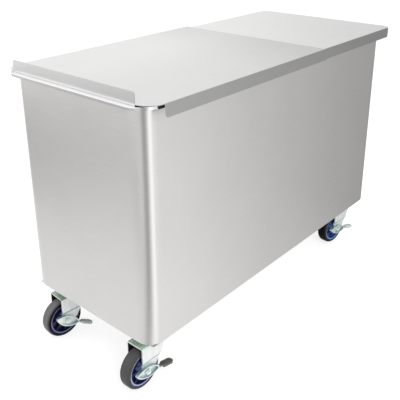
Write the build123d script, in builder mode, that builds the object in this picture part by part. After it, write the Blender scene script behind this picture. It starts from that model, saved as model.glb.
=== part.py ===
"""Mobile stainless flour bin: tub, sliding lid, rear lid and four braked swivel casters.

Millimetres. +X runs along the tub to the rear lid, the handle of the sliding lid is at -X,
+Z is up. The origin is on the floor, under the middle of the whole bin.
"""
import os
from math import cos, radians, sin

from build123d import *

# Tub
sheet = 1.2
tub_length = 979.0
tub_width = 410.8
tub_height = 548.5
tub_corner = 39.0
rim_width = 15.2
rim_corner = 46.0
rim_lip = 7.0
rim_bend = 2.0
rim_mouth_bend = 1.8
pan_sheet = 1.5
pan_upturn = 20.0
pan_bend = 4.0
weld_gap = 0.1

# Mounting channels under the floor
channel_sheet = 2.0
channel_height = 15.0
channel_web = 72.0
channel_flange = 16.0
channel_end_gap = 14.0

# Lids
slide_gap = 1.3
lid_bend = 2.0
sliding_length = 616.5
sliding_set_back = 10.9
sliding_corner = 40.0
sliding_play = 6.6
sliding_drop = 28.6
flange_corner = 8.0
flange_run_on = 5.5
handle_height = 24.0
handle_corner = 6.0
handle_floor_gap = 0.3
rear_corner = 28.0
rear_drop = 27.1
rear_side_gap = 3.8
rear_end_gap = 2.1
rear_tuck = 25.0

# Glide strips
glide_wall = 2.5
glide_hook = 4.0
glide_hook_wall = 1.2
glide_rear_gap = 2.0
glide_fit = 0.1

# Caster
caster_height = 130.0
caster_inset_x = 57.2
caster_inset_y = 64.1
caster_trail = 35.0
wheel_diameter = 101.6
wheel_width = 31.0
running_fit = 0.05
turn_gap = 0.3

# Top plate of a caster and its fasteners
plate_thickness = 3.0
plate_size_x = 60.0
plate_size_y = 92.0
plate_corner = 7.0
bolt_pitch_x = 45.0
bolt_pitch_y = 73.0
bolt_diameter = 8.0
bolt_hole = 9.0
bolt_slot = 4.0
bolt_head_height = 5.3
bolt_head_flats = 13.0
nut_height = 6.5
bolt_past_nut = 1.5

# Swivel head
head_dish = 4.0
head_radius = 24.0
head_taper = 3.0
race_height = 6.0
race_outer = 23.0
race_inner = 13.0
race_bevel = 1.8
kingpin_diameter = 12.0
kingpin_head = 9.0
kingpin_head_height = 3.0
lower_race_outer = 18.0
lower_race_height = 5.0

# Fork
fork_sheet = 3.0
fork_width = 50.0
fork_bend = 5.0
fork_rear = 12.0
fork_front = 29.0
fork_front_low = 7.0
fork_joggle = 3.0
joggle_height = 70.0
joggle_run = 6.0
leg_front_height = 66.0

# Wheel
axle_diameter = 8.0
sleeve_outer = 12.0
hub_radius = 41.0
hub_width = 27.0
hub_ring = 4.5
hub_web = 6.0
boss_radius = 14.0
boss_end_gap = 1.0
rib_count = 8
rib_thickness = 2.5
rib_step = 3.0
bearing_outer = 22.0
bearing_width = 7.0
tyre_foot = 1.0
tyre_shoulder = 8.5
axle_head_height = 5.3
axle_head_flats = 13.0
axle_nut_height = 7.5
axle_nut_collar = 2.0
axle_collar_radius = 5.5
axle_past_nut = 1.5

# Brake
lever_half = 39.0
lever_height = 27.5
lever_sheet = 2.0
lever_rim = 8.0
lever_tip = 5.0
lever_well_end = 6.0
lever_gap = 0.3
pedal_reach = 80.0
pedal_length = 38.0
pedal_width = 17.0
pedal_height = 6.0
pedal_rib_count = 6
pedal_rib_pitch = 4.5
pedal_rib_width = 2.4
pedal_rib_length = 10.0
pedal_rib_height = 1.2
arm_width = 11.0
arm_end_gap = 3.5
lever_up = -12.0
lever_down = -30.0

# Rest position of each caster: name, end, side, swivel in degrees, brake set
casters = [
    ("front_near", -1, -1, 0.5, False),
    ("front_far", -1, 1, -4.2, True),
    ("rear_near", 1, -1, -5.0, False),
    ("rear_far", 1, 1, 3.0, False),
]

# Heights above the floor
axle_z = wheel_diameter / 2
plate_top = caster_height
plate_bottom = plate_top - plate_thickness
head_bottom = plate_bottom - head_dish
fork_top = head_bottom - race_height
fork_under = fork_top - fork_sheet
tub_bottom = caster_height + channel_height
rim_top = tub_bottom + tub_height
rear_lid_top = rim_top + sheet
glide_top = rear_lid_top + slide_gap
sliding_top = glide_top + sheet

# Plan sizes
caster_x = tub_length / 2 - caster_inset_x
caster_y = tub_width / 2 - caster_inset_y
rim_length = tub_length + 2 * rim_width
rim_across = tub_width + 2 * rim_width
rear_half_width = rim_across / 2 + rear_side_gap + sheet
sliding_half_width = rear_half_width + sliding_play + sheet
rear_reach = rim_length / 2 + rear_end_gap + sheet
front_swivel = radians(max(abs(swivel) for _, end, _, swivel, _ in casters if end < 0))
shoulder_reach = caster_trail + wheel_diameter / 2 - tyre_shoulder
shoulder_side = wheel_width / 2 - tyre_shoulder
wheel_reach = shoulder_reach * cos(front_swivel) + shoulder_side * sin(front_swivel) + tyre_shoulder
tub_x = (caster_x + wheel_reach - rear_reach) / 2
rim_left = tub_x - rim_length / 2
rear_end_x = tub_x + rear_reach
sliding_left = rim_left + sliding_set_back
sliding_right = sliding_left + sliding_length
sliding_corner_x = sliding_left + sliding_corner
rear_left_x = sliding_right - rear_tuck

os.makedirs("parts", exist_ok=True)


def save(piece, name):
    """Label a finished piece and write it as its own file."""
    piece.label = name
    export_step(piece, f"parts/{name}.step")


# Tub shell: flat rim with its edge bent down, then the upright wall below it
mouth_length = tub_length - 2 * sheet
mouth_width = tub_width - 2 * sheet
mouth_corner = tub_corner - sheet
with BuildPart() as tub_shell:
    with BuildSketch(Plane.XY.offset(rim_top - rim_lip)):
        with Locations((tub_x, 0)):
            RectangleRounded(rim_length, rim_across, rim_corner)
    extrude(amount=rim_lip)
    fillet(tub_shell.faces().sort_by(Axis.Z)[-1].edges(), radius=rim_bend)
    offset(amount=-sheet, openings=tub_shell.faces().sort_by(Axis.Z)[0])
    with BuildSketch(Plane.XY.offset(tub_bottom)):
        with Locations((tub_x, 0)):
            RectangleRounded(tub_length, tub_width, tub_corner)
    extrude(amount=tub_height - sheet)
    with BuildSketch(Plane.XY.offset(tub_bottom)):
        with Locations((tub_x, 0)):
            RectangleRounded(mouth_length, mouth_width, mouth_corner)
    extrude(amount=tub_height, mode=Mode.SUBTRACT)
    rim_face = tub_shell.faces().sort_by(Axis.Z)[-1]
    fillet(rim_face.inner_wires()[0].edges(), radius=rim_mouth_bend)
save(tub_shell.part, "tub_shell")

# Tub floor: pan whose upturned edge is welded inside the wall
pan_length = tub_length - 2 * (sheet + weld_gap)
pan_width = tub_width - 2 * (sheet + weld_gap)
pan_corner = tub_corner - sheet - weld_gap
with BuildPart() as tub_floor:
    with BuildSketch(Plane.XY.offset(tub_bottom)):
        with Locations((tub_x, 0)):
            RectangleRounded(pan_length, pan_width, pan_corner)
    extrude(amount=pan_upturn)
    fillet(tub_floor.faces().sort_by(Axis.Z)[0].edges(), radius=pan_bend)
    pan_mouth = tub_floor.faces().sort_by(Axis.Z)[-1]
    offset(amount=-pan_sheet, openings=pan_mouth)
save(tub_floor.part, "tub_floor")

# Bolt places around one swivel axis and under the whole tub
plate_holes = [
    (side_x * bolt_pitch_x / 2, side_y * bolt_pitch_y / 2) for side_x in (-1, 1) for side_y in (-1, 1)
]
caster_places = [(tub_x + end * caster_x, side * caster_y) for _, end, side, _, _ in casters]
bolt_places = [(x + dx, y + dy) for x, y in caster_places for dx, dy in plate_holes]

# Mounting channels: hat section across the tub, welded under the floor
for name, end in (("mount_channel_front", -1), ("mount_channel_rear", 1)):
    middle = tub_x + end * caster_x
    outer_half = channel_web / 2
    inner_half = outer_half - channel_sheet
    foot_half = outer_half + channel_flange
    web_top = caster_height + channel_sheet
    with BuildPart() as channel:
        with BuildSketch(Plane.XZ.offset(-(tub_width / 2 - channel_end_gap))):
            with BuildLine():
                Polyline(
                    (middle - foot_half, tub_bottom),
                    (middle - foot_half, tub_bottom - channel_sheet),
                    (middle - outer_half, tub_bottom - channel_sheet),
                    (middle - outer_half, caster_height),
                    (middle + outer_half, caster_height),
                    (middle + outer_half, tub_bottom - channel_sheet),
                    (middle + foot_half, tub_bottom - channel_sheet),
                    (middle + foot_half, tub_bottom),
                    (middle + inner_half, tub_bottom),
                    (middle + inner_half, web_top),
                    (middle - inner_half, web_top),
                    (middle - inner_half, tub_bottom),
                    close=True,
                )
            make_face()
        extrude(amount=tub_width - 2 * channel_end_gap)
        web_corners = channel.edges().filter_by(Axis.Y).group_by(Axis.Z)[0]
        fillet(web_corners, radius=channel_sheet)
        with BuildSketch(Plane.XY.offset(caster_height)):
            with Locations([place for place in bolt_places if end * place[0] > 0]):
                Circle(bolt_hole / 2)
        extrude(amount=channel_sheet, mode=Mode.SUBTRACT)
    save(channel.part, name)

# Weld nuts on the channel webs
with BuildPart() as weld_nuts:
    with BuildSketch(Plane.XY.offset(caster_height + channel_sheet)):
        with Locations(bolt_places):
            RegularPolygon(bolt_head_flats / 2, 6, major_radius=False)
            Circle(bolt_diameter / 2 + running_fit, mode=Mode.SUBTRACT)
    extrude(amount=nut_height)
save(weld_nuts.part, "weld_nuts")

# Hexagon bolts, heads under the caster plates
with BuildPart() as caster_bolts:
    with BuildSketch(Plane.XY.offset(plate_bottom - bolt_head_height)):
        with Locations(bolt_places):
            RegularPolygon(bolt_head_flats / 2, 6, major_radius=False)
    extrude(amount=bolt_head_height)
    with BuildSketch(Plane.XY.offset(plate_bottom)):
        with Locations(bolt_places):
            Circle(bolt_diameter / 2)
    extrude(amount=plate_thickness + channel_sheet + nut_height + bolt_past_nut)
save(caster_bolts.part, "caster_bolts")

# Glide strips: plastic section clipped over the rim, under the sliding lid only
glide_left = rim_left + rim_corner
glide_right = rear_left_x - glide_rear_gap
lip_y = rim_across / 2
wall_inner_y = tub_width / 2 - sheet
lip_foot = rim_top - rim_lip - glide_fit
for name, side in (("glide_strip_near", -1), ("glide_strip_far", 1)):
    with BuildPart() as glide:
        with BuildSketch(Plane.YZ.offset(glide_left)):
            with BuildLine():
                Polyline(
                    (side * wall_inner_y, glide_top),
                    (side * (lip_y + glide_fit + glide_wall), glide_top),
                    (side * (lip_y + glide_fit + glide_wall), lip_foot - glide_hook_wall),
                    (side * (lip_y - glide_hook), lip_foot - glide_hook_wall),
                    (side * (lip_y - glide_hook), lip_foot),
                    (side * (lip_y + glide_fit), lip_foot),
                    (side * (lip_y + glide_fit), rim_top),
                    (side * wall_inner_y, rim_top),
                    close=True,
                )
            make_face()
        extrude(amount=glide_right - glide_left)
        outer_edges = glide.edges().filter_by(Axis.X).group_by(Axis.Y)[0 if side < 0 else -1]
        fillet(outer_edges, radius=glide_hook_wall / 2)
    save(glide.part, name)

# Rear lid: plate with a flange along both sides and round the rear end
rear_length = rear_end_x - rear_left_x
rear_middle = (rear_end_x + rear_left_x) / 2
with BuildPart() as rear_lid:
    with BuildSketch(Plane.XY.offset(rear_lid_top)) as rear_outline:
        with Locations((rear_middle, 0)):
            Rectangle(rear_length, 2 * rear_half_width)
        fillet(rear_outline.vertices().group_by(Axis.X)[-1], radius=rear_corner)
    extrude(amount=-rear_drop)
    rear_top = rear_lid.faces().sort_by(Axis.Z)[-1]
    fillet(rear_top.edges().sort_by(Axis.X)[1:], radius=lid_bend)
    with BuildSketch(Plane.XY.offset(rear_lid_top - rear_drop)) as rear_inside:
        with Locations((rear_middle - sheet, 0)):
            Rectangle(rear_length, 2 * (rear_half_width - sheet))
        fillet(rear_inside.vertices().group_by(Axis.X)[-1], radius=rear_corner - sheet)
    extrude(amount=rear_drop - sheet, mode=Mode.SUBTRACT)
save(rear_lid.part, "rear_lid")

# Sliding lid: plate, side flanges and the upturned edge that serves as the handle
flange_inner = sliding_half_width - sheet
handle_half = sliding_half_width - sliding_corner
handle_strip = 2 * lid_bend
with BuildPart() as sliding_lid:
    with BuildSketch(Plane.YZ.offset(sliding_corner_x)):
        with BuildLine():
            Polyline(
                (-sliding_half_width, sliding_top - sliding_drop),
                (-sliding_half_width, sliding_top),
                (sliding_half_width, sliding_top),
                (sliding_half_width, sliding_top - sliding_drop),
                (flange_inner, sliding_top - sliding_drop),
                (flange_inner, glide_top),
                (-flange_inner, glide_top),
                (-flange_inner, sliding_top - sliding_drop),
                close=True,
            )
        make_face()
    extrude(amount=sliding_length - sliding_corner + flange_run_on)
    fillet(sliding_lid.edges().filter_by(Axis.X).group_by(Axis.Z)[-1], radius=lid_bend)
    flange_feet = sliding_lid.edges().filter_by(Axis.Y).group_by(Axis.X)[0].group_by(Axis.Z)[0]
    fillet(flange_feet, radius=flange_corner)
    with BuildSketch(Plane.XY.offset(glide_top)):
        with Locations((sliding_right + flange_run_on / 2, 0)):
            Rectangle(flange_run_on, 2 * flange_inner)
    extrude(amount=sheet, mode=Mode.SUBTRACT)
    with BuildSketch(Plane.XY.offset(glide_top)) as front_outline:
        with Locations((sliding_corner_x, 0)):
            Rectangle(2 * sliding_corner, 2 * sliding_half_width)
        fillet(front_outline.vertices().group_by(Axis.X)[0], radius=sliding_corner)
        with Locations((sliding_corner_x + sliding_corner / 2, 0)):
            Rectangle(sliding_corner, 2 * sliding_half_width, mode=Mode.SUBTRACT)
        with Locations((sliding_left, 0)):
            Rectangle(2 * handle_strip, 2 * handle_half, mode=Mode.SUBTRACT)
    extrude(amount=sheet)
    with BuildSketch(Plane.XZ.offset(-handle_half)):
        with BuildLine():
            Polyline(
                (sliding_left, sliding_top + handle_height),
                (sliding_left, rim_top + handle_floor_gap),
                (sliding_left + sheet, rim_top + handle_floor_gap),
                (sliding_left + sheet, glide_top),
                (sliding_left + handle_strip, glide_top),
                (sliding_left + handle_strip, sliding_top),
                (sliding_left + sheet, sliding_top),
                (sliding_left + sheet, sliding_top + handle_height),
                close=True,
            )
        make_face()
    extrude(amount=2 * handle_half)
    fillet(sliding_lid.edges().filter_by(Axis.X).group_by(Axis.Z)[-1], radius=handle_corner)
save(sliding_lid.part, "sliding_lid")

# Caster top plate: slotted plate with a dish pressed down for the upper race
kingpin_hole = kingpin_diameter / 2 + running_fit
with BuildPart() as caster_plate:
    with BuildSketch(Plane.XY.offset(plate_bottom)):
        RectangleRounded(plate_size_x, plate_size_y, plate_corner)
        with Locations(plate_holes):
            SlotOverall(bolt_hole + bolt_slot, bolt_hole, mode=Mode.SUBTRACT)
    extrude(amount=plate_thickness)
    with BuildSketch(Plane.XZ):
        with BuildLine():
            Polyline(
                (0, plate_bottom),
                (head_radius + head_taper, plate_bottom),
                (head_radius, head_bottom),
                (0, head_bottom),
                close=True,
            )
        make_face()
    revolve(axis=Axis.Z)
    dish_radius = head_radius - plate_thickness
    with BuildSketch(Plane.XZ):
        with BuildLine():
            Polyline(
                (0, plate_top),
                (dish_radius + head_taper, plate_top),
                (dish_radius, head_bottom + plate_thickness),
                (0, head_bottom + plate_thickness),
                close=True,
            )
        make_face()
    revolve(axis=Axis.Z, mode=Mode.SUBTRACT)
    with BuildSketch(Plane.XY.offset(head_bottom)):
        Circle(kingpin_diameter / 2)
    extrude(amount=plate_thickness, mode=Mode.SUBTRACT)

# Upper race: closed ring with a bevelled outer edge, it carries the fork
race_bottom = fork_top + running_fit
with BuildPart() as swivel_race:
    with BuildSketch(Plane.XZ):
        with BuildLine():
            Polyline(
                (race_inner, race_bottom),
                (race_outer - race_bevel, race_bottom),
                (race_outer, race_bottom + race_bevel),
                (race_outer, head_bottom - race_bevel),
                (race_outer - race_bevel, head_bottom),
                (race_inner, head_bottom),
                close=True,
            )
        make_face()
    revolve(axis=Axis.Z)

# Kingpin: rivet from the plate dish to below the lower race
lower_race_top = fork_under - running_fit
lower_race_bottom = lower_race_top - lower_race_height
kingpin_seat = head_bottom + plate_thickness
with BuildPart() as kingpin:
    with BuildSketch(Plane.XZ):
        with BuildLine():
            Polyline(
                (0, kingpin_seat + kingpin_head_height),
                (kingpin_head, kingpin_seat + kingpin_head_height),
                (kingpin_head, kingpin_seat),
                (kingpin_diameter / 2, kingpin_seat),
                (kingpin_diameter / 2, lower_race_bottom),
                (kingpin_head, lower_race_bottom),
                (kingpin_head, lower_race_bottom - kingpin_head_height),
                (0, lower_race_bottom - kingpin_head_height),
                close=True,
            )
        make_face()
    revolve(axis=Axis.Z)

# Lower race: tapered cup under the fork
with BuildPart() as lower_race:
    with BuildSketch(Plane.XZ):
        with BuildLine():
            Polyline(
                (kingpin_diameter / 2, lower_race_top),
                (lower_race_outer, lower_race_top),
                (lower_race_outer - lower_race_height / 2, lower_race_bottom),
                (kingpin_diameter / 2, lower_race_bottom),
                close=True,
            )
        make_face()
    revolve(axis=Axis.Z)

# Fork: bent section with joggled legs, trimmed to the leg outline
leg_outer = fork_width / 2
foot_outer = leg_outer - fork_joggle
foot_inner = foot_outer - fork_sheet
wheel_x = -caster_trail
fork_rear_x = wheel_x - fork_rear
foot_bottom = axle_z - fork_rear
with BuildPart() as fork:
    with BuildSketch(Plane.YZ.offset(fork_rear_x)) as fork_section:
        with BuildLine():
            Polyline(
                (-leg_outer, fork_top),
                (leg_outer, fork_top),
                (leg_outer, joggle_height + joggle_run),
                (foot_outer, joggle_height),
                (foot_outer, foot_bottom),
                (foot_inner, foot_bottom),
                (foot_inner, joggle_height),
                (leg_outer - fork_sheet, joggle_height + joggle_run),
                (leg_outer - fork_sheet, fork_under),
                (-leg_outer + fork_sheet, fork_under),
                (-leg_outer + fork_sheet, joggle_height + joggle_run),
                (-foot_inner, joggle_height),
                (-foot_inner, foot_bottom),
                (-foot_outer, foot_bottom),
                (-foot_outer, joggle_height),
                (-leg_outer, joggle_height + joggle_run),
                close=True,
            )
        make_face()
        fillet(fork_section.vertices().group_by(Axis.Y)[-1], radius=fork_bend)
    extrude(amount=fork_front - fork_rear_x)
    with BuildSketch(Plane.XZ.offset(-leg_outer)) as leg_outline:
        with BuildLine():
            rear_edge = Line((fork_rear_x, fork_top), (fork_rear_x, axle_z))
            foot_arc = JernArc(rear_edge @ 1, (0, -1), fork_rear, 90)
            foot_rise = Spline(
                foot_arc @ 1,
                (fork_front_low, leg_front_height),
                tangents=[(1, 0), (fork_front - fork_front_low, fork_top - leg_front_height)],
            )
            Line(foot_rise @ 1, (fork_front, fork_top))
            Line((fork_front, fork_top), rear_edge @ 0)
        make_face()
    extrude(amount=fork_width, mode=Mode.INTERSECT)
    with BuildSketch(Plane.XY.offset(fork_under)):
        Circle(kingpin_hole)
    extrude(amount=fork_sheet, mode=Mode.SUBTRACT)
    with BuildSketch(Plane.XZ.offset(-leg_outer)):
        with Locations((wheel_x, axle_z)):
            Circle(axle_diameter / 2)
    extrude(amount=fork_width, mode=Mode.SUBTRACT)

# Wheel profiles are revolved about the axle, which runs along Y
wheel_axis = Axis((wheel_x, 0, axle_z), (0, 1, 0))
axle_plane = Plane(origin=(wheel_x, 0, axle_z), x_dir=(0, 0, 1), z_dir=(-1, 0, 0))

# Tyre: solid tread with round shoulders and flat side walls
half_width = wheel_width / 2
tyre_outer = wheel_diameter / 2
with BuildPart() as tyre:
    with BuildSketch(axle_plane) as tyre_section:
        with BuildLine():
            Polyline(
                (hub_radius, -hub_width / 2),
                (hub_radius + tyre_foot, -half_width),
                (tyre_outer, -half_width),
                (tyre_outer, half_width),
                (hub_radius + tyre_foot, half_width),
                (hub_radius, hub_width / 2),
                close=True,
            )
        make_face()
        fillet(tyre_section.vertices().group_by(Axis.X)[-1], radius=tyre_shoulder)
    revolve(axis=wheel_axis)

# Wheel hub: outer ring, web, boss with bearing seats, and ribs on both faces
sleeve_length = 2 * foot_inner
boss_half = foot_inner - boss_end_gap
ring_inner = hub_radius - hub_ring
with BuildPart() as wheel_hub:
    with BuildSketch(axle_plane):
        with BuildLine():
            Polyline(
                (sleeve_outer / 2 + turn_gap, 0),
                (sleeve_outer / 2 + turn_gap, boss_half - bearing_width),
                (bearing_outer / 2, boss_half - bearing_width),
                (bearing_outer / 2, boss_half),
                (boss_radius, boss_half),
                (boss_radius, hub_web / 2),
                (ring_inner, hub_web / 2),
                (ring_inner, hub_width / 2),
                (hub_radius, hub_width / 2),
                (hub_radius, 0),
                close=True,
            )
        make_face()
        mirror(about=Plane(axle_plane.origin, x_dir=axle_plane.x_dir, z_dir=axle_plane.y_dir))
    revolve(axis=wheel_axis)
    rib_plane = Plane(origin=(wheel_x, 0, axle_z), x_dir=(1, 0, 0), z_dir=(0, 1, 0))
    with BuildSketch(rib_plane):
        with PolarLocations((ring_inner + boss_radius) / 2, rib_count):
            Rectangle(ring_inner - boss_radius + rib_thickness, rib_thickness)
    extrude(amount=hub_width / 2 - rib_step, both=True)

# Wheel bearings: one ring seated in each end of the boss
with BuildPart() as wheel_bearings:
    for side in (-1, 1):
        seat = side * (boss_half - bearing_width)
        with BuildSketch(Plane(origin=(wheel_x, seat, axle_z), x_dir=(1, 0, 0), z_dir=(0, side, 0))):
            Circle(bearing_outer / 2)
            Circle(sleeve_outer / 2 + running_fit, mode=Mode.SUBTRACT)
        extrude(amount=bearing_width)

# Axle sleeve: spacer tube clamped between the fork feet
with BuildPart() as axle_sleeve:
    with BuildSketch(Plane(origin=(wheel_x, -foot_inner, axle_z), x_dir=(1, 0, 0), z_dir=(0, 1, 0))):
        Circle(sleeve_outer / 2)
        Circle(axle_diameter / 2 + running_fit, mode=Mode.SUBTRACT)
    extrude(amount=sleeve_length)

# Brake lever: pressed boat-shaped dish on the axle, with an arm out to the pedal
lever_inner_y = -(foot_outer + lever_gap)
lever_bore = axle_diameter / 2 + running_fit
lever_plane = Plane(origin=(wheel_x, lever_inner_y, axle_z), x_dir=(1, 0, 0), z_dir=(0, -1, 0))
arm_start = lever_half - lever_tip
arm_end = pedal_reach - arm_end_gap
with BuildPart() as brake_lever:
    with BuildSketch(lever_plane) as boat:
        with BuildLine():
            ThreePointArc((-lever_half, 0), (0, lever_height / 2), (lever_half, 0))
            ThreePointArc((lever_half, 0), (0, -lever_height / 2), (-lever_half, 0))
        make_face()
        fillet(boat.vertices(), radius=lever_tip)
    extrude(amount=lever_rim)
    with BuildSketch(lever_plane.offset(lever_sheet)):
        with BuildLine():
            well_half = lever_half - lever_well_end
            well_height = lever_height / 2 - lever_sheet
            ThreePointArc((-well_half, 0), (0, well_height), (well_half, 0))
            ThreePointArc((well_half, 0), (0, -well_height), (-well_half, 0))
        make_face()
    extrude(amount=lever_rim - lever_sheet, mode=Mode.SUBTRACT)
    with BuildSketch(lever_plane):
        with Locations(((arm_start + arm_end) / 2, 0)):
            Rectangle(arm_end - arm_start, lever_sheet)
    extrude(amount=arm_width)
    with BuildSketch(lever_plane):
        Circle(lever_bore)
    extrude(amount=lever_rim, mode=Mode.SUBTRACT)

# Brake pedal: ribbed plastic pad pushed onto the end of the arm
pedal_middle_y = lever_inner_y - arm_width / 2
pedal_plane = Plane(
    origin=(wheel_x + pedal_reach - pedal_length / 2, pedal_middle_y, axle_z - pedal_height / 2),
    x_dir=(1, 0, 0),
    z_dir=(0, 0, 1),
)
with BuildPart() as brake_pedal:
    with BuildSketch(pedal_plane):
        SlotOverall(pedal_length, pedal_width)
    extrude(amount=pedal_height)
    with BuildSketch(pedal_plane.offset(pedal_height)):
        with GridLocations(pedal_rib_pitch, 0, pedal_rib_count, 1):
            Rectangle(pedal_rib_width, pedal_rib_length)
    extrude(amount=pedal_rib_height)
    with BuildSketch(Plane.YZ.offset(wheel_x + pedal_reach - pedal_length)):
        with Locations((pedal_middle_y, axle_z)):
            Rectangle(arm_width, lever_sheet)
    extrude(amount=pedal_length - arm_end_gap, mode=Mode.SUBTRACT)

# Axle bolt: hexagon head on the far leg, thread end past the lock nut
with BuildPart() as axle_bolt:
    with BuildSketch(Plane(origin=(wheel_x, foot_outer, axle_z), x_dir=(1, 0, 0), z_dir=(0, 1, 0))):
        RegularPolygon(axle_head_flats / 2, 6, major_radius=False)
    extrude(amount=axle_head_height)
    with BuildSketch(Plane(origin=(wheel_x, foot_outer, axle_z), x_dir=(1, 0, 0), z_dir=(0, -1, 0))):
        Circle(axle_diameter / 2)
    extrude(amount=foot_outer - lever_inner_y + lever_sheet + lever_gap + axle_nut_height + axle_past_nut)

# Axle lock nut: hexagon with a round collar, outside the lever
nut_y = lever_inner_y - lever_sheet - lever_gap
collar_y = nut_y - axle_nut_height + axle_nut_collar
with BuildPart() as axle_nut:
    with BuildSketch(Plane(origin=(wheel_x, nut_y, axle_z), x_dir=(1, 0, 0), z_dir=(0, -1, 0))):
        RegularPolygon(axle_head_flats / 2, 6, major_radius=False)
    extrude(amount=axle_nut_height - axle_nut_collar)
    with BuildSketch(Plane(origin=(wheel_x, collar_y, axle_z), x_dir=(1, 0, 0), z_dir=(0, -1, 0))):
        Circle(axle_collar_radius)
    extrude(amount=axle_nut_collar)
    with BuildSketch(Plane(origin=(wheel_x, nut_y, axle_z), x_dir=(1, 0, 0), z_dir=(0, -1, 0))):
        Circle(axle_diameter / 2)
    extrude(amount=axle_nut_height, mode=Mode.SUBTRACT)

# Fixed pieces of all four swivel heads, placed under the tub
places = [Location((x, y, 0)) for x, y in caster_places]
for piece, name in ((kingpin, "kingpins"), (swivel_race, "swivel_races"), (lower_race, "lower_races")):
    group = Compound(children=[place * piece.part for place in places])
    save(group, name)

# Each caster: its plate, and the turning pieces at their rest swivel and brake angle
axle_point = Location((wheel_x, 0, axle_z))
for (name, _, _, swivel, braked), place in zip(casters, places):
    turned = place * Location((0, 0, 0), (0, 0, swivel))
    lever_angle = lever_down if braked else lever_up
    pressed = turned * axle_point * Location((0, 0, 0), (0, -lever_angle, 0)) * axle_point.inverse()
    save(place * caster_plate.part, f"caster_plate_{name}")
    for piece, kind in (
        (fork, "fork"),
        (axle_bolt, "axle_bolt"),
        (axle_nut, "axle_nut"),
        (axle_sleeve, "axle_sleeve"),
        (wheel_hub, "wheel_hub"),
        (wheel_bearings, "wheel_bearings"),
        (tyre, "tyre"),
    ):
        save(turned * piece.part, f"{kind}_{name}")
    for piece, kind in ((brake_lever, "brake_lever"), (brake_pedal, "brake_pedal")):
        save(pressed * piece.part, f"{kind}_{name}")
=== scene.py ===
"""Looks of the mobile stainless flour bin: materials on the solids, stage, light and camera."""
import math

import bpy
import bmesh
from mathutils import Matrix, Vector

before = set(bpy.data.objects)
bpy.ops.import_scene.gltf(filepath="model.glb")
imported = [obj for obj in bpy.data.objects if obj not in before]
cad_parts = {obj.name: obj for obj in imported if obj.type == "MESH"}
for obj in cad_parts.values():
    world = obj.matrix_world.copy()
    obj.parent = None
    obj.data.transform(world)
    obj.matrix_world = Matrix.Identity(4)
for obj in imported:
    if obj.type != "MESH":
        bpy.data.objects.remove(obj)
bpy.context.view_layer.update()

# Rest swivel of each caster in degrees
CASTERS = {"front_near": 0.5, "front_far": -4.2, "rear_near": -5.0, "rear_far": 3.0}


# Node helpers
def empty_tree(owner):
    """The cleared node tree of a material or world."""
    owner.use_nodes = True
    owner.node_tree.nodes.clear()
    return owner.node_tree


def new_material(name):
    """An empty node material with a Principled shader."""
    material = bpy.data.materials.new(name)
    tree = empty_tree(material)
    out = tree.nodes.new("ShaderNodeOutputMaterial")
    shader = tree.nodes.new("ShaderNodeBsdfPrincipled")
    tree.links.new(shader.outputs["BSDF"], out.inputs["Surface"])
    return material, tree, shader


def feed(tree, value, socket):
    """Link a socket, or set a constant, on an input."""
    if isinstance(value, bpy.types.NodeSocket):
        tree.links.new(value, socket)
    elif value is not None:
        socket.default_value = value


def texture_place(tree, source="Object"):
    """Place in metres, or the surface normal, in the object's own axes."""
    return tree.nodes.new("ShaderNodeTexCoord").outputs[source]


def axes(tree, source="Object"):
    """X, Y and Z of the place or of the surface normal."""
    parts = tree.nodes.new("ShaderNodeSeparateXYZ")
    tree.links.new(texture_place(tree, source), parts.inputs[0])
    return parts.outputs


def math_node(tree, operation, first, second=None):
    """One number from one or two others, each a socket or a number."""
    node = tree.nodes.new("ShaderNodeMath")
    node.operation = operation
    feed(tree, first, node.inputs[0])
    feed(tree, second, node.inputs[1])
    return node.outputs[0]


def vector_node(tree, operation, first, second=None):
    """A vector, or a number where the operation gives one, from one or two vectors."""
    node = tree.nodes.new("ShaderNodeVectorMath")
    node.operation = operation
    feed(tree, first, node.inputs[0])
    feed(tree, second, node.inputs[1])
    return node.outputs["Value" if operation in ("DOT_PRODUCT", "LENGTH") else "Vector"]


def noise(tree, scale, detail=3.0, rough=0.5, stretch=(1, 1, 1)):
    """A noise field between 0 and 1, its pattern drawn out where stretch is below 1."""
    mapping = tree.nodes.new("ShaderNodeMapping")
    mapping.inputs["Scale"].default_value = stretch
    tree.links.new(texture_place(tree), mapping.inputs["Vector"])
    node = tree.nodes.new("ShaderNodeTexNoise")
    node.inputs["Scale"].default_value = scale
    node.inputs["Detail"].default_value = detail
    node.inputs["Roughness"].default_value = rough
    tree.links.new(mapping.outputs["Vector"], node.inputs["Vector"])
    return node.outputs["Fac"]


def ramp(tree, value, stops):
    """A colour ramp with the given stops, each a place and a colour or grey value."""
    node = tree.nodes.new("ShaderNodeValToRGB")
    elements = node.color_ramp.elements
    while len(elements) > 1:
        elements.remove(elements[-1])
    for index, (place, colour) in enumerate(stops):
        element = elements[0] if index == 0 else elements.new(place)
        element.position = place
        if isinstance(colour, (int, float)):
            colour = (colour, colour, colour)
        element.color = (*colour, 1.0)
    tree.links.new(value, node.inputs["Fac"])
    return node.outputs["Color"]


def bump(tree, height, strength, distance):
    """A bump normal from a height field."""
    node = tree.nodes.new("ShaderNodeBump")
    node.inputs["Strength"].default_value = strength
    node.inputs["Distance"].default_value = distance
    tree.links.new(height, node.inputs["Height"])
    return node.outputs["Normal"]


def step_between(tree, value, low, high, kind="SMOOTHSTEP"):
    """A step from 0 at low to 1 at high."""
    node = tree.nodes.new("ShaderNodeMapRange")
    node.interpolation_type = kind
    node.inputs["From Min"].default_value = low
    node.inputs["From Max"].default_value = high
    tree.links.new(value, node.inputs["Value"])
    return node.outputs[0]


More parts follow.
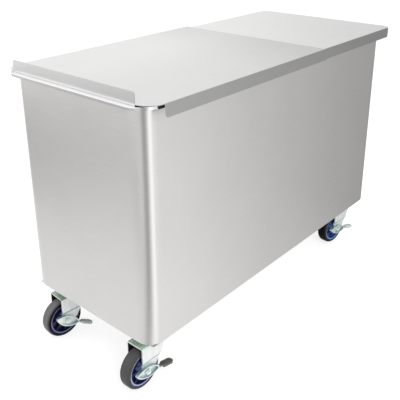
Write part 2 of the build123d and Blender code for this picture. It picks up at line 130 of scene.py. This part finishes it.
def blend(tree, factor, first, second, kind="MIX"):
    """Two colours mixed by a factor, a socket or a number."""
    node = tree.nodes.new("ShaderNodeMix")
    node.data_type = "RGBA"
    node.blend_type = kind
    node.clamp_result = False
    feed(tree, factor, node.inputs["Factor"])
    tree.links.new(first, node.inputs[6])
    tree.links.new(second, node.inputs[7])
    return node.outputs[2]


def shade(tree, colour, field, stops):
    """A colour multiplied by a ramp over a field."""
    return blend(tree, 1.0, colour, ramp(tree, field, stops), "MULTIPLY")


def scaled(colour, factor):
    """A colour made lighter or darker, no part of it over 1."""
    return tuple(min(1.0, part * factor) for part in colour)


# Materials
GRAIN_SCALE = 900.0
MOULD_GRAIN_SCALE = 700.0
WEAR_SCALE = 45.0
RIM_FOOT = 0.6864
RIM_BLUR = 0.0005
# Band either side of Y=0 over which painted shade on level faces grows towards -Y, and the grey it reaches
NEAR_EDGE = 0.12
NEAR_SHADE_GREY = 0.92


def stainless(
    name,
    stretch,
    base=(0.93, 0.92, 0.905),
    rough=(0.27, 0.34),
    about="Z",
    aniso=0.8,
    painted_flank_shade=1.0,
    painted_fade_shade=None,
    walls=False,
    metal=1.0,
):
    """Satin stainless sheet with its fine grain along one axis.

    flank darkens faces across Y as painted shade, and fade darkens level faces towards a place along X and
    towards -Y as painted shade. On walls the sheet above the rim's foot is smoother and painted lighter as
    a highlight, and faces turned to the tub's middle are matt.
    """
    material, tree, shader = new_material(name)
    shader.inputs["Metallic"].default_value = metal
    shader.inputs["Anisotropic"].default_value = aniso
    shader.inputs["Anisotropic Rotation"].default_value = 0.25
    tangent = tree.nodes.new("ShaderNodeTangent")
    tangent.direction_type = "RADIAL"
    tangent.axis = about
    tree.links.new(tangent.outputs["Tangent"], shader.inputs["Tangent"])
    grain = noise(tree, GRAIN_SCALE, 2.0, 0.5, stretch)
    cloud = noise(tree, 5.0, 3.0, 0.55)
    colour = ramp(tree, grain, [(0.3, scaled(base, 0.985)), (0.7, scaled(base, 1.01))])
    colour = shade(tree, colour, cloud, [(0.3, 0.97), (0.7, 1.0)])
    # Painted shade: faces turned across Y are darkened by the flank factor.
    if painted_flank_shade < 1.0:
        across = math_node(tree, "ABSOLUTE", axes(tree, "Normal")["Y"])
        colour = shade(tree, colour, across, [(0.3, 1.0), (0.8, painted_flank_shade)])
    gloss = ramp(tree, grain, [(0.25, rough[0]), (0.75, rough[1])])
    place = axes(tree)
    # Painted shade: level faces darkened towards -Y and towards a place along X.
    if painted_fade_shade:
        start, end, grey = painted_fade_shade
        level = step_between(tree, axes(tree, "Normal")["Z"], 0.3, 0.8)
        painted_near_shade = math_node(tree, "MULTIPLY", step_between(tree, place["Y"], NEAR_EDGE, -NEAR_EDGE), level)
        painted_far_shade = math_node(tree, "MULTIPLY", step_between(tree, place["X"], start, end), level)
        colour = shade(tree, colour, painted_near_shade, [(0.0, 1.0), (1.0, NEAR_SHADE_GREY)])
        colour = shade(tree, colour, painted_far_shade, [(0.0, 1.0), (1.0, grey)])
    if walls:
        # Above the rim's foot: a lighter colour as a painted highlight, and a smoother finish.
        above = step_between(tree, place["Z"], RIM_FOOT - RIM_BLUR, RIM_FOOT + RIM_BLUR)
        painted_band_highlight = ramp(tree, grain, [(0.3, (0.96, 0.95, 0.97)), (0.7, (1.0, 0.99, 1.0))])
        colour = blend(tree, above, colour, painted_band_highlight)
        gloss = blend(tree, above, gloss, ramp(tree, grain, [(0.25, 0.1), (0.75, 0.16)]))
        outward = vector_node(tree, "DOT_PRODUCT", texture_place(tree, "Normal"), texture_place(tree))
        below = math_node(tree, "SUBTRACT", 1.0, above)
        inner = math_node(tree, "MULTIPLY", step_between(tree, outward, -0.02, -0.1), below)
        tree.links.new(ramp(tree, inner, [(0.0, 1.0), (1.0, 0.5)]), shader.inputs["Metallic"])
    tree.links.new(colour, shader.inputs["Base Color"])
    tree.links.new(gloss, shader.inputs["Roughness"])
    tree.links.new(bump(tree, cloud, 0.1, 0.008), shader.inputs["Normal"])
    return material


def plated(name, rough=0.2, green=(0.56, 0.7, 0.57), metal=0.45, wheel=None):
    """Bright zinc plate, its colour set by which way a face turns as a painted reflection: white on upright
    faces, green on faces turned up and blue on those turned down.

    With a wheel's middle and axle given, the faces turned towards the wheel are painted dark as shade.
    """
    material, tree, shader = new_material(name)
    shader.inputs["Metallic"].default_value = metal
    cloud = noise(tree, 30.0)
    streak = noise(tree, 110.0, 2.0, 0.5, (1.0, 1.0, 0.1))
    spots = noise(tree, 420.0, 2.0)
    height = axes(tree, "Normal")["Z"]
    # Painted reflection: green on faces turned up, blue on faces turned down, white on upright faces.
    blue = (0.42, 0.58, 0.62)
    white = ramp(tree, streak, [(0.35, (0.9, 0.92, 0.92)), (0.6, (1.0, 1.0, 1.0))])
    up = ramp(tree, cloud, [(0.35, scaled(green, 0.7)), (0.65, scaled(green, 1.4))])
    down = ramp(tree, cloud, [(0.35, blue), (0.65, scaled(blue, 1.3))])
    colour = blend(tree, step_between(tree, height, 0.15, 0.6), white, up)
    colour = blend(tree, step_between(tree, height, -0.15, -0.4), colour, down)
    if wheel:
        middle, axis = wheel
        side = vector_node(tree, "DOT_PRODUCT", texture_place(tree), axis)
        turned = vector_node(tree, "DOT_PRODUCT", texture_place(tree, "Normal"), axis)
        offset = math_node(tree, "SUBTRACT", side, middle.dot(axis))
        inward = math_node(tree, "MULTIPLY", math_node(tree, "SIGN", offset), turned)
        # Painted shade on the faces turned towards the wheel.
        painted_inner_shade = ramp(tree, cloud, [(0.35, (0.02, 0.022, 0.025)), (0.65, (0.05, 0.052, 0.06))])
        colour = blend(tree, step_between(tree, inward, -0.5, -0.8), colour, painted_inner_shade)
    tree.links.new(colour, shader.inputs["Base Color"])
    tree.links.new(ramp(tree, spots, [(0.3, rough), (0.7, rough + 0.06)]), shader.inputs["Roughness"])
    tree.links.new(bump(tree, spots, 0.04, 0.0001), shader.inputs["Normal"])
    return material


def moulded(name, colour, rough, spread=0.12):
    """Moulded plastic with a fine surface grain and faint wear."""
    material, tree, shader = new_material(name)
    grain = noise(tree, MOULD_GRAIN_SCALE, 3.0, 0.6)
    wear = noise(tree, WEAR_SCALE, 4.0, 0.6)
    shades = [(0.3, scaled(colour, 1 - spread)), (0.7, scaled(colour, 1 + spread))]
    tree.links.new(ramp(tree, wear, shades), shader.inputs["Base Color"])
    tree.links.new(ramp(tree, wear, [(0.3, rough), (0.7, rough + 0.12)]), shader.inputs["Roughness"])
    tree.links.new(bump(tree, grain, 0.2, 0.0003), shader.inputs["Normal"])
    return material


def wheel_place(caster):
    """The middle of a caster's wheel and the direction of its axle."""
    box = [Vector(corner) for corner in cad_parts[f"tyre_{caster}"].bound_box]
    angle = math.radians(CASTERS[caster])
    return sum(box, Vector()) / len(box), Vector((-math.sin(angle), math.cos(angle), 0.0))


# Full scale of the wheels' colour ramps in millimetres
WHEEL_FULL = 60.0
MM_PER_M = 1000.0


def wheel_material(name, caster, rough, gleam, by_reach=None, by_side=None):
    """Hub or tyre colour by distance from the axle or from the wheel's middle plane, in millimetres."""
    material, tree, shader = new_material(name)
    shader.inputs["Specular IOR Level"].default_value = gleam
    middle, axis = wheel_place(caster)
    offset = vector_node(tree, "SUBTRACT", texture_place(tree), middle)
    side = math_node(tree, "ABSOLUTE", vector_node(tree, "DOT_PRODUCT", offset, axis))
    side = math_node(tree, "MULTIPLY", side, MM_PER_M / WHEEL_FULL)
    reach = vector_node(tree, "LENGTH", vector_node(tree, "CROSS_PRODUCT", offset, axis))
    reach = math_node(tree, "MULTIPLY", reach, MM_PER_M / WHEEL_FULL)
    field, stops = (reach, by_reach) if by_reach else (side, by_side)
    wear = noise(tree, WEAR_SCALE, 4.0, 0.6)
    grain = noise(tree, MOULD_GRAIN_SCALE, 3.0, 0.6)
    colour = ramp(tree, field, [(place / WHEEL_FULL, tint) for place, tint in stops])
    colour = shade(tree, colour, wear, [(0.3, 0.86), (0.7, 1.0)])
    tree.links.new(colour, shader.inputs["Base Color"])
    duller = ramp(tree, side, [(10 / WHEEL_FULL, 0.0), (15 / WHEEL_FULL, 0.25)])
    gloss = blend(tree, 1.0, ramp(tree, wear, [(0.3, rough), (0.7, rough + 0.1)]), duller, "ADD")
    tree.links.new(gloss, shader.inputs["Roughness"])
    tree.links.new(bump(tree, grain, 0.12, 0.0003), shader.inputs["Normal"])
    return material


ALONG_X = (0.02, 1.0, 1.0)
LEVEL = {"stretch": ALONG_X, "about": "X", "aniso": 0.3}
WALL_STEEL = stainless("wall_steel", (0.02, 0.02, 1.0), walls=True)
PAN_STEEL = stainless("pan_steel", metal=0.5, **LEVEL)
# Painted shade on the lids' flanges and the sliding lid's top; the rear lid's lighter steel is painted
# light.
SLIDING_STEEL = stainless(
    "sliding_steel", base=(0.93, 0.925, 0.92), painted_flank_shade=0.6, painted_fade_shade=(-0.15, 0.14, 0.88), **LEVEL
)
REAR_STEEL = stainless("rear_steel", base=(0.98, 0.975, 0.97), painted_flank_shade=0.57, **LEVEL)
CHANNEL_STEEL = stainless("channel_steel", (1.0, 0.02, 1.0), (0.6, 0.6, 0.59), (0.3, 0.4), "Y", 0.3)
# Zinc finishes: their tints by face direction are painted reflections.
ZINC = plated("zinc_plate")
LEVER_ZINC = plated("lever_zinc", 0.12, (0.3, 0.48, 0.48), metal=0.6)
RACE_STEEL = plated("race_steel", 0.16, (0.6, 0.66, 0.66))
GLIDE = moulded("glide_plastic", (0.02, 0.02, 0.022), 0.35)
PEDAL = moulded("pedal_plastic", (0.7, 0.76, 0.72), 0.3)
PEDAL_GREY = moulded("pedal_plastic_grey", (0.52, 0.55, 0.5), 0.3)
# Front pedals' plastics: grey on the far one, a dark, strongly mottled olive on the near one.
PEDAL_DARK = moulded("pedal_plastic_dark", (0.12, 0.122, 0.105), 0.3, spread=0.35)
PEDALS = {"brake_pedal_front_near": PEDAL_DARK, "brake_pedal_front_far": PEDAL_GREY}

# Colours of the hub's boss, then of each hub's recess and outer ring; the recess's dark navy is painted
# shade, and the hubs' differences from caster to caster are painted light and shade
BOSS_BLUES = ((0.25, 0.3, 0.5), (0.2, 0.25, 0.5))
HUB_BLUES = {
    "front_near": ((0.01, 0.025, 0.11), (0.5, 0.54, 0.9)),
    "front_far": ((0.006, 0.008, 0.04), (0.16, 0.18, 0.42)),
    "rear_near": ((0.04, 0.1, 0.36), (0.25, 0.4, 0.75)),
    "rear_far": ((0.01, 0.02, 0.1), (0.5, 0.54, 0.9)),
}
# Greys of each tyre's tread, shoulder and side wall, set from caster to caster as painted light and shade;
# the rear near tyre's near-black tread is painted shadow under the tub
TYRE_GREYS = {
    "front_near": (0.1, 0.08, 0.08),
    "front_far": (0.2, 0.1, 0.008),
    "rear_near": (0.004, 0.008, 0.04),
    "rear_far": (0.012, 0.015, 0.03),
}


def dress(node, material):
    """Give a node's object one material in every slot."""
    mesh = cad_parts[node].data
    if not mesh.materials:
        mesh.materials.append(material)
    for index in range(len(mesh.materials)):
        mesh.materials[index] = material


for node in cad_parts:
    if node.startswith("tub_"):
        dress(node, PAN_STEEL if node == "tub_floor" else WALL_STEEL)
    elif node.endswith("_lid"):
        dress(node, REAR_STEEL if node.startswith("rear") else SLIDING_STEEL)
    elif node.startswith("mount_channel"):
        dress(node, CHANNEL_STEEL)
    elif node.startswith("glide_strip"):
        dress(node, GLIDE)
    elif node.startswith("brake_pedal"):
        dress(node, PEDALS.get(node, PEDAL))
    elif node in ("swivel_races", "lower_races", "kingpins") or node.startswith("wheel_bearings"):
        dress(node, RACE_STEEL)
    elif node.startswith("brake_lever"):
        dress(node, LEVER_ZINC)
    elif not node.startswith(("wheel_hub", "tyre", "fork")):
        dress(node, ZINC)
for caster in CASTERS:
    recess, ring = HUB_BLUES[caster]
    stops = [(0, BOSS_BLUES[0]), (14.5, BOSS_BLUES[1]), (16, recess), (37, recess), (38.6, ring)]
    dress(f"wheel_hub_{caster}", wheel_material(f"hub_plastic_{caster}", caster, 0.22, 0.5, by_reach=stops))
    tread, shoulder, wall = ((grey, grey, grey * 1.03) for grey in TYRE_GREYS[caster])
    stops = [(0, tread), (8, tread), (12, shoulder), (14.6, wall)]
    dress(f"tyre_{caster}", wheel_material(f"tyre_rubber_{caster}", caster, 0.36, 0.1, by_side=stops))
    dress(f"fork_{caster}", plated(f"fork_zinc_{caster}", wheel=wheel_place(caster)))


# Stage and lights
def seen_ray(tree):
    """1 for rays from the camera, mirrors and glass, 0 for those that light the object."""
    path = tree.nodes.new("ShaderNodeLightPath").outputs
    first = math_node(tree, "MAXIMUM", path["Is Camera Ray"], path["Is Glossy Ray"])
    return math_node(tree, "MAXIMUM", first, path["Is Transmission Ray"])


def pick_shader(tree, lighting, seen, out):
    """One shader for rays that light the object and another for those that show the background."""
    pick = tree.nodes.new("ShaderNodeMixShader")
    tree.links.new(seen_ray(tree), pick.inputs[0])
    tree.links.new(lighting.outputs[0], pick.inputs[1])
    tree.links.new(seen.outputs[0], pick.inputs[2])
    tree.links.new(pick.outputs[0], out.inputs["Surface"])


def floor_paint():
    """White floor that keeps a light shadow."""
    material = bpy.data.materials.new("floor_paint")
    tree = empty_tree(material)
    out = tree.nodes.new("ShaderNodeOutputMaterial")
    plain = tree.nodes.new("ShaderNodeBsdfDiffuse")
    plain.inputs["Color"].default_value = (0.85, 0.85, 0.85, 1.0)
    faint = tree.nodes.new("ShaderNodeBsdfDiffuse")
    faint.inputs["Color"].default_value = (0.45, 0.45, 0.45, 1.0)
    glow = tree.nodes.new("ShaderNodeEmission")
    glow.inputs["Strength"].default_value = 0.72
    total = tree.nodes.new("ShaderNodeAddShader")
    tree.links.new(faint.outputs[0], total.inputs[0])
    tree.links.new(glow.outputs[0], total.inputs[1])
    pick_shader(tree, plain, total, out)
    return material


HALF_FLOOR = 30.0
floor_corners = [(HALF_FLOOR * x, HALF_FLOOR * y, 0) for x, y in ((-1, -1), (1, -1), (1, 1), (-1, 1))]
floor_mesh = bpy.data.meshes.new("floor")
floor_mesh.from_pydata(floor_corners, [], [(0, 1, 2, 3)])
floor = bpy.data.objects.new("floor", floor_mesh)
bpy.context.scene.collection.objects.link(floor)
floor_mesh.materials.append(floor_paint())

world = bpy.data.worlds.new("studio")
bpy.context.scene.world = world
world_tree = empty_tree(world)
world_out = world_tree.nodes.new("ShaderNodeOutputWorld")
backdrop = world_tree.nodes.new("ShaderNodeBackground")
backdrop.inputs["Color"].default_value = (1, 1, 1, 1)
backdrop.inputs["Strength"].default_value = 1.0
sky = world_tree.nodes.new("ShaderNodeBackground")
sky.inputs["Color"].default_value = (1, 1, 1, 1)
sky.inputs["Strength"].default_value = 0.75
pick_shader(world_tree, sky, backdrop, world_out)


def lamp(name, place, aim, size, watts):
    """A soft square lamp that points at a place and isn't seen in mirrors."""
    data = bpy.data.lights.new(name, "AREA")
    data.shape = "SQUARE"
    data.size = size
    data.energy = watts
    item = bpy.data.objects.new(name, data)
    bpy.context.scene.collection.objects.link(item)
    item.location = place
    item.rotation_mode = "QUATERNION"
    item.rotation_quaternion = (Vector(aim) - Vector(place)).to_track_quat("-Z", "Y")
    item.visible_glossy = False


lamp("key", (-1.6, -3.0, 2.8), (0, 0, 0.3), 1.6, 60.0)
lamp("top", (0.5, 0.5, 3.5), (0, 0, 0.4), 3.0, 40.0)

# Studio tent, seen by mirrors only. Its greys go by direction in degrees, from -Y towards +X, around a
# floor point: the camera's mirror image in the long side, the focus of the near corner's reflections, the
# near corner itself and the middle of the bin.
MIRRORED_CAMERA = (-1.239, 0.592)
CORNER_FOCUS = (-0.545, -0.08)
NEAR_CORNER = (-0.445, -0.166)
MIDDLE = (0.0, 0.0)
SIDE_GREYS = [
    (40, 0.78), (46, 0.72), (49, 0.67), (52, 0.61), (55, 0.54), (58, 0.49), (61, 0.43), (64, 0.35),
    (70, 0.33), (90, 0.6), (115, 0.8),
]
CORNER_GREYS = [
    (-180, 0.67), (-64, 0.65), (-46, 0.6), (-36, 0.36), (-24, 0.32), (-14, 0.55), (-6, 0.95), (2, 1.2),
    (10, 1.0), (18, 0.82), (34, 0.77),
]
CEILING_GREYS = [(95, 0.66), (112, 0.74), (125, 0.84), (140, 0.9), (170, 0.9)]


def turn_share(degrees):
    """A direction from -180 to 180 degrees as a share from 0 to 1."""
    return (degrees + 180) / 360


def direction(tree, centre):
    """Direction around a floor point, as a share of the full turn."""
    place = axes(tree)
    east = math_node(tree, "SUBTRACT", place["X"], centre[0])
    south = math_node(tree, "SUBTRACT", centre[1], place["Y"])
    angle = math_node(tree, "ARCTAN2", east, south)
    return step_between(tree, angle, -math.pi, math.pi, "LINEAR")


def direction_ramp(tree, centre, stops):
    """Grey by direction around a floor point."""
    return ramp(tree, direction(tree, centre), [(turn_share(degrees), grey) for degrees, grey in stops])


def direction_step(tree, centre, start, end):
    """A soft step from 0 to 1 between two directions around a floor point."""
    return step_between(tree, direction(tree, centre), turn_share(start), turn_share(end))


def tent_paint():
    """Soft greys of a photographer's white sweep with one dark gap and a darker far side."""
    material = bpy.data.materials.new("tent_paint")
    tree = empty_tree(material)
    out = tree.nodes.new("ShaderNodeOutputMaterial")
    glow = tree.nodes.new("ShaderNodeEmission")
    height = axes(tree)["Z"]
    reach = vector_node(tree, "LENGTH", vector_node(tree, "MULTIPLY", texture_place(tree), (1, 1, 0)))
    ring = step_between(tree, reach, 0.5, 1.5)
    side = direction_ramp(tree, MIRRORED_CAMERA, SIDE_GREYS)
    side = shade(tree, side, ring, [(0.0, 1.13), (0.2, 1.0)])
    corner = direction_ramp(tree, CORNER_FOCUS, CORNER_GREYS)
    low = blend(tree, direction_step(tree, NEAR_CORNER, 20, 40), corner, side)
    away = ramp(tree, ring, [(0.0, 1.16), (0.5, 1.16), (0.8, 1.05), (1.0, 0.64)])
    away = shade(tree, away, step_between(tree, height, 0.36, 0.52), [(0.0, 1.0), (1.0, 2.35)])
    end = blend(tree, 1.0, low, away, "MULTIPLY")
    low = blend(tree, direction_step(tree, NEAR_CORNER, -60, -90), low, end)
    ceiling = direction_ramp(tree, MIDDLE, CEILING_GREYS)
    behind = direction_step(tree, MIDDLE, 85, 100)
    high = math_node(tree, "MULTIPLY", step_between(tree, height, 0.6, 0.9), behind)
    tree.links.new(blend(tree, high, low, ceiling), glow.inputs["Color"])
    tree.links.new(glow.outputs[0], out.inputs["Surface"])
    return material


TENT_RADIUS = 1.5
TENT_FOOT = 0.0006
TENT_HEIGHT = 2.5
TENT_STEPS = 96
tent_mesh = bpy.data.meshes.new("tent")
tent_build = bmesh.new()
hub_point = tent_build.verts.new((0, 0, TENT_FOOT))
tent_angles = [2 * math.pi * step / TENT_STEPS for step in range(TENT_STEPS)]
foot, head = (
    [
        tent_build.verts.new((TENT_RADIUS * math.cos(angle), TENT_RADIUS * math.sin(angle), height))
        for angle in tent_angles
    ]
    for height in (TENT_FOOT, TENT_HEIGHT)
)
for step in range(TENT_STEPS):
    after = (step + 1) % TENT_STEPS
    tent_build.faces.new((hub_point, foot[step], foot[after]))
    tent_build.faces.new((foot[step], head[step], head[after], foot[after]))
tent_build.to_mesh(tent_mesh)
tent_build.free()
tent = bpy.data.objects.new("tent", tent_mesh)
bpy.context.scene.collection.objects.link(tent)
tent_mesh.materials.append(tent_paint())
tent.visible_camera = False
tent.visible_diffuse = False
tent.visible_transmission = False
tent.visible_volume_scatter = False
tent.visible_shadow = False

# Camera, fitted to the photograph in pixels of its 400 by 400 frame
AZIMUTH = math.radians(-48.658)
ELEVATION = math.radians(21.569)
ROLL = math.radians(-0.441)
FOCAL_PX = 627.66
CENTRE_PX = (195.87, 145.0)
PLACE = (-1.23926, -1.00289, 1.05056)
FRAME_PX = 400.0
SENSOR_MM = 36.0

camera_data = bpy.data.cameras.new("camera")
camera = bpy.data.objects.new("camera", camera_data)
bpy.context.scene.collection.objects.link(camera)
bpy.context.scene.camera = camera
level_back = Vector((math.sin(AZIMUTH), -math.cos(AZIMUTH), 0.0))
back_dir = level_back * math.cos(ELEVATION) + Vector((0.0, 0.0, math.sin(ELEVATION)))
right_dir = Vector((math.cos(AZIMUTH), math.sin(AZIMUTH), 0.0))
up_dir = back_dir.cross(right_dir)
turn = Matrix((right_dir, up_dir, back_dir)).transposed().to_4x4()
camera.matrix_world = Matrix.Translation(PLACE) @ turn @ Matrix.Rotation(ROLL, 4, "Z")
camera_data.sensor_fit = "HORIZONTAL"
camera_data.sensor_width = SENSOR_MM
camera_data.lens = FOCAL_PX / FRAME_PX * SENSOR_MM
camera_data.shift_x = (FRAME_PX / 2 - CENTRE_PX[0]) / FRAME_PX
camera_data.shift_y = (CENTRE_PX[1] - FRAME_PX / 2) / FRAME_PX
camera_data.clip_start = 0.05
camera_data.clip_end = 100.0

bpy.context.scene.view_settings.view_transform = "Standard"
